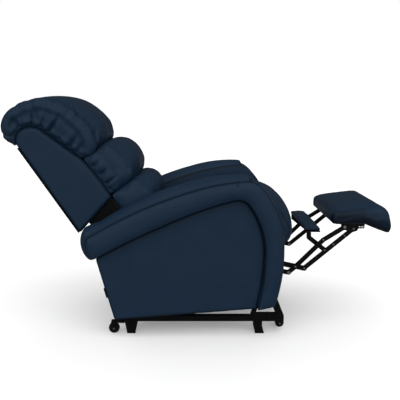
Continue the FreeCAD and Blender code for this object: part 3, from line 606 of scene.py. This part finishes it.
pads = {name: startPad(name, spec) for name, spec in padding.items()}
print("pads started", {name: len(pad["start"]) for name, pad in pads.items()})
blown = [pad for pad in pads.values() if not isPuffed(pad)]
for pad in blown:
    addCloth(pad)
for number in range(1, clothLook["frames"] + 1 if blown else 1):
    scene.frame_set(number)
for pad in pads.values():
    takeShape(pad)
scene.frame_set(1)
for name, pad in pads.items():
    out = np.linalg.norm(pad["shape"] - pad["start"], axis=1) / mm
    print(name, "moved mm", round(float(out.mean()), 1), round(float(out.max()), 1))
    finishPad(pad)
print("pads blown up")


def onSkin(pad, line):
    # a line laid on the finished surface
    surface = skinOf(pad["piece"].data)
    return np.array([surface.find_nearest(Vector(p))[0] for p in line])


def straight(start, end):
    count = max(int(math.dist(start, end) / (seamStepMm * mm)), 2)
    return np.linspace(start, end, count)


def outerLoop(pad):
    return max(pad["outlines"], key=lambda outline: abs(outline[0][1]))


# adds painted shade to a pad, keeping the larger amount at each point
def paintShade(pad, amount):
    pad["dark"] = np.maximum(pad["dark"], amount)


# seams: a sewn groove, with painted shade at its bottom
weltLook = {"depthMm": 2.0, "widthMm": 4.5, "darkMm": 5, "dark": 0.85}
tickLook = {"depthMm": 1.6, "widthMm": 3, "darkMm": 3, "dark": 0.9}


def sewSeam(pad, seam, look):
    mesh = pad["piece"].data
    points = pointsOf(mesh)
    apart, _ = nearest(points, seam)
    sink = look["depthMm"] * mm * np.exp(-(apart / (look["widthMm"] * mm)) ** 2)
    setPoints(mesh, points - normalsOf(mesh) * sink[:, None])
    paintShade(pad, look["dark"] * np.exp(-(apart / (look["darkMm"] * mm)) ** 2))


# the band round each arm is stuffed: it swells quickly from both of its edges
bandLook = {"riseMm": 17, "overMm": 40, "faceMm": 396, "tilt": (0.3, 0.6)}


def puffBand(pad):
    mesh = pad["piece"].data
    points = pointsOf(mesh)
    normals = normalsOf(mesh)
    loop = outerLoop(pad)
    apart, _ = nearest(points, loop)
    side = np.sign(loop[0][1])
    short = 1 - np.clip(apart / (bandLook["overMm"] * mm), 0, 1)
    face = smoothStep(normals[:, 1] * side, *bandLook["tilt"])
    face *= points[:, 1] * side > bandLook["faceMm"] * mm
    points[:, 1] += side * bandLook["riseMm"] * mm * np.sqrt(1 - short ** 2) * face
    setPoints(mesh, points)


# the rear end of each arm is stuffed fuller than its sides
rearLook = {"riseMm": 15, "fromMm": 425, "overMm": 50, "seamMm": 2, "edgeMm": 26, "tilt": (0.2, 0.7)}


def fillRear(pad):
    mesh = pad["piece"].data
    points = pointsOf(mesh)
    normals = normalsOf(mesh)
    apart, _ = nearest(points, np.vstack(pad["outlines"]))
    start = rearLook["fromMm"]
    back = smoothStep(-points[:, 0], start * mm, (start + rearLook["overMm"]) * mm)
    back *= smoothStep(-normals[:, 0], *rearLook["tilt"])
    back *= smoothStep(apart, rearLook["seamMm"] * mm, rearLook["edgeMm"] * mm)
    setPoints(mesh, points + normals * (rearLook["riseMm"] * mm * back)[:, None])


# the end of a pillow stands out as a roll, with a soft valley behind it, darkened with painted shade
rolls = {
    "headPillow": {"insideMm": 58, "clearMm": 55, "depthMm": 8, "widthMm": 24, "darkMm": 20, "dark": 0.15},
    "midPillow": {"insideMm": 62, "clearMm": 40, "depthMm": 4, "widthMm": 22, "darkMm": 14, "dark": 0.12},
}


def drawRoll(pad, loop, look):
    apart, _ = nearest(loop, np.vstack(pad["seams"]))
    line = loop[apart > look["clearMm"] * mm]
    if not len(line):
        return
    line[:, 1] -= np.sign(line[:, 1]) * look["insideMm"] * mm
    sewSeam(pad, onSkin(pad, line), look)


# gathers: leather drawn up along a seam, in uneven folds that die away from it
gathers = {
    "headPillow": {"spacingMm": 44, "depthMm": 22, "startMm": 24, "reachMm": 84, "seed": 3.1},
    "midPillow": {"spacingMm": 38, "depthMm": 17, "startMm": 22, "reachMm": 74, "seed": 11.7},
    "lowPillow": {"spacingMm": 36, "depthMm": 7, "startMm": 18, "reachMm": 56, "seed": 19.2},
}
gatherLook = {
    "wander": 0.9, "wanderRate": 0.37, "uneven": 0.8, "unevenRate": 0.9, "unevenSeed": 7.3,
    "ridge": 0.8, "level": 0.62, "strength": 0.8, "fade": (0.2, 1.15), "seamMm": 3, "endMm": 60,
    "insideMm": 190, "easeMm": 45, "dark": 0.6, "darkBelow": 0.5,
}


def noiseAlong(along, rate, seed):
    return np.array([noise.noise((a * rate, seed, 0.0)) for a in along])


def gather(pad, seam, look):
    mesh = pad["piece"].data
    points = pointsOf(mesh)
    apart, index = nearest(points, seam)
    run = index * seamStepMm
    along = run / look["spacingMm"]
    wander = gatherLook["wander"] * noiseAlong(along, gatherLook["wanderRate"], look["seed"])
    size = gatherLook["uneven"] * noiseAlong(
        along, gatherLook["unevenRate"], look["seed"] + gatherLook["unevenSeed"])
    fold = np.abs(np.sin(np.pi * (along + wander))) ** gatherLook["ridge"]  # broad ridges, narrow valleys
    reach = look["reachMm"] * mm * (1 + size)
    full, none = (share * reach for share in gatherLook["fade"])
    fade = (1 - smoothStep(apart, full, none)) * (gatherLook["strength"] + size)
    fade *= smoothStep(apart, gatherLook["seamMm"] * mm, look["startMm"] * mm)
    fade *= smoothStep(np.minimum(run, run.max() - run), 0, gatherLook["endMm"])
    inside = gatherLook["insideMm"]
    fade *= smoothStep(np.abs(points[:, 1]), inside * mm, (inside + gatherLook["easeMm"]) * mm)
    lift = look["depthMm"] * mm * (fold - gatherLook["level"]) * fade
    setPoints(mesh, points + normalsOf(mesh) * lift[:, None])
    # painted shade in the valleys of the folds
    valley = np.clip(1 - fold / gatherLook["darkBelow"], 0, 1)
    paintShade(pad, gatherLook["dark"] * valley * np.clip(fade, 0, 1))


# the ends of the ottoman are rounded over at the top and drawn in underneath, with painted shade growing
# darker towards the bottom
tuckLook = {
    "inMm": 16, "overMm": 64, "topInMm": 18, "topOverMm": 56, "endMm": 60, "dark": 0.75, "darkMm": 92}


def tuckEnds(pad):
    mesh = pad["piece"].data
    points = pointsOf(mesh)
    low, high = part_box(pad["spec"]["node"])
    surface = skinOf(mesh)
    under = np.zeros(len(points))
    over = np.zeros(len(points))
    for i, point in enumerate(points):
        down = surface.ray_cast(Vector((point[0], 0, low.z - 1)), Vector((0, 0, 1)))[0]
        up = surface.ray_cast(Vector((point[0], 0, high.z + 1)), Vector((0, 0, -1)))[0]
        under[i] = point[2] - down.z if down else 0
        over[i] = up.z - point[2] if up else 0
    ends = smoothStep(np.abs(points[:, 1]), high.y - tuckLook["endMm"] * mm, high.y)
    inward = tuckLook["inMm"] * (1 - np.clip(under / (tuckLook["overMm"] * mm), 0, 1)) ** 2
    inward += tuckLook["topInMm"] * (1 - np.clip(over / (tuckLook["topOverMm"] * mm), 0, 1)) ** 2
    points[:, 1] -= np.sign(points[:, 1]) * inward * mm * ends
    setPoints(mesh, points)
    paintShade(pad, tuckLook["dark"] * (1 - smoothStep(under, 0, tuckLook["darkMm"] * mm)) * ends)


# the armrest pad stops short of the front, with a stitched end and a step down to the front band; a line of
# painted shade runs along its end
armEnd = {
    "endMm": 219, "bowMm": 14, "dropMm": 15, "fadeMm": 72, "edgeMm": 12, "aboveMm": 500,
    "tilt": (0.05, 0.4), "sides": (0.72, 1.0),
    "dark": 0.8, "darkAtMm": 4, "darkMm": 5, "darkAboveMm": 600, "tickX": 158, "tickZ": (694, 672),
}


def stepArm(pad):
    mesh = pad["piece"].data
    points = pointsOf(mesh)
    normals = normalsOf(mesh)
    low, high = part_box(pad["spec"]["node"])
    across = (points[:, 1] - (low.y + high.y) / 2) / ((high.y - low.y) / 2)
    ahead = points[:, 0] - (armEnd["endMm"] - armEnd["bowMm"] * across ** 2) * mm
    top = smoothStep(normals[:, 2], *armEnd["tilt"]) * (1 - smoothStep(np.abs(across), *armEnd["sides"]))
    drop = np.exp(-(np.maximum(ahead, 0) / (armEnd["fadeMm"] * mm)) ** 2)
    drop *= smoothStep(ahead, -armEnd["edgeMm"] * mm, armEnd["edgeMm"] * mm)
    drop *= points[:, 2] > armEnd["aboveMm"] * mm
    setPoints(mesh, points - normals * (armEnd["dropMm"] * mm * drop * top)[:, None])
    line = np.exp(-((ahead - armEnd["darkAtMm"] * mm) / (armEnd["darkMm"] * mm)) ** 2)
    paintShade(pad, armEnd["dark"] * line * top * (points[:, 2] > armEnd["darkAboveMm"] * mm))


# short seam up the end of the head pillow, as distances up the back and ahead of it
headTick = {"from": (540, 135), "to": (499, 105), "sideMm": 268}
backFrame = {"corner": (-535, 451), "lean": 34.2}


def fromBack(up, ahead, y):
    lean = math.radians(backFrame["lean"])
    x, z = backFrame["corner"]
    x += ahead * math.cos(lean) - up * math.sin(lean)
    z += ahead * math.sin(lean) + up * math.cos(lean)
    return np.array([x, y, z]) * mm


for side in ("Left", "Right"):
    puffBand(pads["armCover" + side])
    fillRear(pads["armCover" + side])
tuckEnds(pads["ottomanPad"])
for pad in pads.values():
    for seam in pad["seams"]:
        sewSeam(pad, seam, weltLook)
for name, look in rolls.items():
    for loop in pads[name]["outlines"]:
        drawRoll(pads[name], loop, look)
for name, look in gathers.items():
    for seam in pads[name]["seams"]:
        gather(pads[name], seam, look)
for side, sign in (("Left", 1), ("Right", -1)):
    arm = pads["armCover" + side]
    stepArm(arm)
    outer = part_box(arm["spec"]["node"])[1 if sign > 0 else 0].y
    ends = [(armEnd["tickX"] * mm, outer, z * mm) for z in armEnd["tickZ"]]
    sewSeam(arm, onSkin(arm, straight(*ends)), tickLook)
    head = pads["headPillow"]
    ends = [fromBack(*headTick[end], sign * headTick["sideMm"]) for end in ("from", "to")]
    sewSeam(head, onSkin(head, straight(*ends)), tickLook)
for pad in pads.values():
    piece = pad["piece"]
    markPaintedShade(piece, pad["dark"])
    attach(piece, pad["spec"]["body"])
    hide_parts(pad["spec"]["node"])
print("seams and gathers done")


# boards under leather: bevelled copies, with painted shade on the turned-under edges
boards = {
    "backRearCover": {"node": "back_rear_cover", "body": "back", "edgeMm": 257},
    "rearPanel": {"node": "rear_panel", "body": "chair", "edgeMm": 343},
}
boardLook = {"bevelMm": 2, "bevelSteps": 3, "fadeMm": 2}


def dressBoard(piece):
    bevel = piece.modifiers.new("bevel", "BEVEL")
    bevel.width = boardLook["bevelMm"] * mm
    bevel.segments = boardLook["bevelSteps"]
    applyModifiers(piece)
    wearLeather(piece)


def makeBoard(name, spec):
    work = mergedCopy(spec["node"])
    edge = spec["edgeMm"]
    for line in (-edge, edge):
        everything = work.verts[:] + work.edges[:] + work.faces[:]
        bmesh.ops.bisect_plane(work, geom=everything, plane_co=(0, line * mm, 0), plane_no=(0, 1, 0))
    piece = newPiece(name, work)
    dressBoard(piece)
    out = np.abs(pointsOf(piece.data)[:, 1])
    # painted shade on the side faces beyond the edge
    markPaintedShade(piece, smoothStep(out, edge * mm, (edge + boardLook["fadeMm"]) * mm))
    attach(piece, spec["body"])
    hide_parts(spec["node"])


for name, spec in boards.items():
    makeBoard(name, spec)

# leather flap that stands on the rear panel and closes most of the gap under the back
flapLook = {"xMm": (-446, -441), "zMm": (350, 416), "halfMm": 268}
boxFaces = [(3, 2, 1, 0), (4, 5, 6, 7), (0, 1, 5, 4), (1, 2, 6, 5), (2, 3, 7, 6), (3, 0, 4, 7)]


def makeFlap():
    (back, front), half = flapLook["xMm"], flapLook["halfMm"]
    ring = [(back, -half), (front, -half), (front, half), (back, half)]
    corners = [(x * mm, y * mm, z * mm) for z in flapLook["zMm"] for x, y in ring]
    mesh = bpy.data.meshes.new("rearFlap")
    mesh.from_pydata(corners, [], boxFaces)
    piece = linkObject("rearFlap", mesh)
    dressBoard(piece)
    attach(piece, "chair")


makeFlap()
print("boards and flap done")


# repeated small work: stitches along a line, and rivet heads at points
def startTree(name, inputs, output):
    tree = bpy.data.node_groups.new(name, "GeometryNodeTree")
    for label, kind in inputs.items():
        tree.interface.new_socket(label, in_out="INPUT", socket_type="NodeSocket" + kind)
    tree.interface.new_socket(output, in_out="OUTPUT", socket_type="NodeSocketGeometry")
    return tree, addNode(tree, "NodeGroupInput").outputs


def endTree(tree, instances, material, output):
    plain = addNode(tree, "GeometryNodeRealizeInstances", {"Geometry": instances})
    dressed = addNode(tree, "GeometryNodeSetMaterial", {
        "Geometry": plain.outputs["Geometry"], "Material": material})
    addNode(tree, "NodeGroupOutput", {output: dressed.outputs["Geometry"]})


stitchLook = {
    "insetMm": 8, "spacingMm": 7, "lengthMm": 4.6, "threadMm": 0.9,
    "shortest": 0.82, "longest": 1.1, "seed": 5, "segments": 6, "rings": 4,
}


def makeStitchTree():
    tree, given = startTree("stitchRow", {
        "Line": "Geometry", "Spacing": "Float", "Length": "Float", "Thickness": "Float",
        "Material": "Material"}, "Stitches")
    line = addNode(tree, "GeometryNodeMeshToCurve", {"Mesh": given["Line"]})
    dots = addNode(tree, "GeometryNodeCurveToPoints", {
        "Curve": line.outputs["Curve"], "Length": given["Spacing"]}, mode="LENGTH")
    thread = addNode(tree, "GeometryNodeMeshUVSphere", {
        "Segments": stitchLook["segments"], "Rings": stitchLook["rings"], "Radius": 0.5})
    uneven = addNode(tree, "FunctionNodeRandomValue", {
        2: stitchLook["shortest"], 3: stitchLook["longest"], "Seed": stitchLook["seed"]}, data_type="FLOAT")
    long = addNode(tree, "ShaderNodeMath", {
        0: given["Length"], 1: uneven.outputs[1]}, operation="MULTIPLY")
    size = addNode(tree, "ShaderNodeCombineXYZ", {
        "X": given["Thickness"], "Y": given["Thickness"], "Z": long.outputs["Value"]})
    row = addNode(tree, "GeometryNodeInstanceOnPoints", {
        "Points": dots.outputs["Points"], "Instance": thread.outputs["Mesh"],
        "Rotation": dots.outputs["Rotation"], "Scale": size.outputs["Vector"]})
    endTree(tree, row.outputs["Instances"], given["Material"], "Stitches")
    return tree


rivetSpots = {
    "upperLinkRivets": {"body": "upper_links", "spot": (552, 415.5), "faceMm": 251},
    "lowerLinkRivets": {"body": "lower_links", "spot": (600, 392), "faceMm": 241},
}
rivetLook = {"radiusMm": 4, "heightMm": 1.6, "segments": 16, "rings": 8}


def makeRivetTree():
    tree, given = startTree("rivetHeads", {
        "Spots": "Geometry", "Radius": "Float", "Height": "Float", "Material": "Material"}, "Heads")
    dome = addNode(tree, "GeometryNodeMeshUVSphere", {
        "Segments": rivetLook["segments"], "Rings": rivetLook["rings"], "Radius": 1.0})
    size = addNode(tree, "ShaderNodeCombineXYZ", {
        "X": given["Radius"], "Y": given["Height"], "Z": given["Radius"]})
    heads = addNode(tree, "GeometryNodeInstanceOnPoints", {
        "Points": given["Spots"], "Instance": dome.outputs["Mesh"], "Scale": size.outputs["Vector"]})
    endTree(tree, heads.outputs["Instances"], given["Material"], "Heads")
    return tree


def growPiece(name, mesh, tree, values, body, slot):
    piece = linkObject(name, mesh)
    modifier = piece.modifiers.new("grow", "NODES")
    modifier.node_group = tree
    values["Material"] = finishes[slot]
    for item in tree.interface.items_tree:
        if item.in_out == "INPUT" and item.name in values:
            modifier[item.identifier] = values[item.name]
    applyModifiers(piece)
    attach(piece, body)


def insetLoop(loop, inset, reach=3):
    # the loop moved into its own outline, in its plane
    flat = loop[:, [0, 2]]
    tangent = np.roll(flat, -reach, axis=0) - np.roll(flat, reach, axis=0)
    tangent /= np.maximum(np.linalg.norm(tangent, axis=1), 1e-9)[:, None]
    area = np.sum(flat[:, 0] * np.roll(flat[:, 1], -1) - np.roll(flat[:, 0], -1) * flat[:, 1])
    inward = np.column_stack([-tangent[:, 1], tangent[:, 0]]) * np.sign(area)
    moved = loop.copy()
    moved[:, [0, 2]] += inward * inset
    return moved


def makeStitches(padName, tree):
    # one row round the outermost outline
    pad = pads[padName]
    line = onSkin(pad, insetLoop(outerLoop(pad), stitchLook["insetMm"] * mm))
    mesh = bpy.data.meshes.new(padName + "Stitches")
    mesh.from_pydata([tuple(p) for p in line], [(i, (i + 1) % len(line)) for i in range(len(line))], [])
    growPiece(padName + "Stitches", mesh, tree, {
        "Spacing": stitchLook["spacingMm"] * mm, "Length": stitchLook["lengthMm"] * mm,
        "Thickness": stitchLook["threadMm"] * mm}, pad["spec"]["body"], "navy_leather")


def makeRivets(name, spec, tree):
    x, z = spec["spot"]
    mesh = bpy.data.meshes.new(name)
    mesh.from_pydata([(x * mm, sign * spec["faceMm"] * mm, z * mm) for sign in (1, -1)], [], [])
    growPiece(name, mesh, tree, {
        "Radius": rivetLook["radiusMm"] * mm, "Height": rivetLook["heightMm"] * mm},
        spec["body"], "bright_steel")


stitchTree = makeStitchTree()
rivetTree = makeRivetTree()
for padName in ("armCoverLeft", "armCoverRight"):
    makeStitches(padName, stitchTree)
for name, spec in rivetSpots.items():
    makeRivets(name, spec, rivetTree)

# bright zinc strip across each lower link, short of its upper end: a painted highlight
linkHighlight = {
    "knee": (471, 283.1), "toe": (686.8, 465), "spot": (648.5, 432.9),
    "lengthMm": 20, "widthMm": 2.4, "faceMm": 241, "highMm": 0.6,
}


def makeLinkHighlights():
    run = np.subtract(linkHighlight["toe"], linkHighlight["knee"])
    along = run / np.linalg.norm(run)
    across = np.array((-along[1], along[0]))
    corners = []
    faces = []
    for sign in (1, -1):
        start = len(corners)
        for rise in (0, linkHighlight["highMm"]):
            for a, b in ((-1, -1), (1, -1), (1, 1), (-1, 1)):
                flat = np.array(linkHighlight["spot"])
                flat = flat + a * along * linkHighlight["widthMm"] / 2 + b * across * linkHighlight["lengthMm"] / 2
                corners.append((flat[0] * mm, sign * (linkHighlight["faceMm"] + rise) * mm, flat[1] * mm))
        faces += [tuple(start + i for i in (face[::-1] if sign > 0 else face)) for face in boxFaces]
    mesh = bpy.data.meshes.new("lowerLinkHighlights")
    mesh.from_pydata(corners, [], faces)
    mesh.materials.append(finishes["bright_steel"])
    piece = linkObject("lowerLinkHighlights", mesh)
    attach(piece, "lower_links")


makeLinkHighlights()
print("stitches, rivets and link edges done")


# studio: pale floor, white surround, a broad lamp from the camera's side and a weaker one from behind
studio = {
    "cameraBack": 2.97, "cameraHeight": 1.0291, "cameraTilt": 9.0436, "lens": 55.98, "sensor": 36,
    "floor": "#dedede", "floorGlow": 0.2, "floorRoughness": 0.9, "floorSize": 60.0,
    "bounce": "#8a8a8a", "bounceDropMm": 1, "surround": 1.0, "ambient": 0.78, "reflected": 0.1,
    "lamps": {
        "frontLamp": {"power": 2.15, "turn": (52, 6, 0), "spread": 90, "glossy": True},
        "rearLamp": {"power": 0.9, "turn": (-74, 0, 0), "spread": 90, "glossy": False}},
}


def makePlane(name, colour, glow):
    half = studio["floorSize"] / 2
    mesh = bpy.data.meshes.new(name)
    corners = [(-half, -half, 0), (half, -half, 0), (half, half, 0), (-half, half, 0)]
    mesh.from_pydata(corners, [], [(0, 1, 2, 3)])
    plane = linkObject(name, mesh)
    material, tree = startMaterial(name + "Paint")
    endMaterial(tree, {
        "Base Color": linearColour(colour), "Roughness": studio["floorRoughness"], "Specular IOR Level": 0.0,
        "Emission Color": (1, 1, 1, 1), "Emission Strength": glow})
    mesh.materials.append(material)
    return plane


def makeFloor():
    # the pale floor is only looked at; a greyer one under it throws the light back up
    pale = makePlane("studioFloor", studio["floor"], studio["floorGlow"])
    pale.visible_diffuse = False
    pale.visible_glossy = False
    pale.visible_shadow = False
    grey = makePlane("studioBounce", studio["bounce"], 0.0)
    grey.location.z = -studio["bounceDropMm"] * mm
    grey.visible_camera = False


def makeLamps():
    for name, look in studio["lamps"].items():
        data = bpy.data.lights.new(name, "SUN")
        data.energy = look["power"]
        data.angle = math.radians(look["spread"])
        lamp = linkObject(name, data)
        lamp.rotation_euler = [math.radians(turn) for turn in look["turn"]]
        lamp.visible_glossy = look["glossy"]


def makeSurround():
    world = bpy.data.worlds.new("whiteSurround")
    world.use_nodes = True
    tree = world.node_tree
    tree.nodes.clear()
    path = addNode(tree, "ShaderNodeLightPath").outputs
    shine = rangeOf(tree, path["Is Glossy Ray"], studio["ambient"], studio["reflected"])
    level = rangeOf(tree, path["Is Camera Ray"], shine, studio["surround"])
    glow = addNode(tree, "ShaderNodeBackground", {"Color": (1, 1, 1, 1), "Strength": level})
    addNode(tree, "ShaderNodeOutputWorld", {"Surface": glow.outputs["Background"]})
    scene.world = world


def makeCamera():
    data = bpy.data.cameras.new("camera")
    data.lens = studio["lens"]
    data.sensor_width = studio["sensor"]
    camera = linkObject("camera", data)
    camera.location = (0, -studio["cameraBack"], studio["cameraHeight"])
    camera.rotation_euler = (math.radians(90 - studio["cameraTilt"]), 0, 0)
    scene.camera = camera


makeFloor()
makeLamps()
makeSurround()
makeCamera()
scene.view_settings.view_transform = "Standard"
print("studio ready")
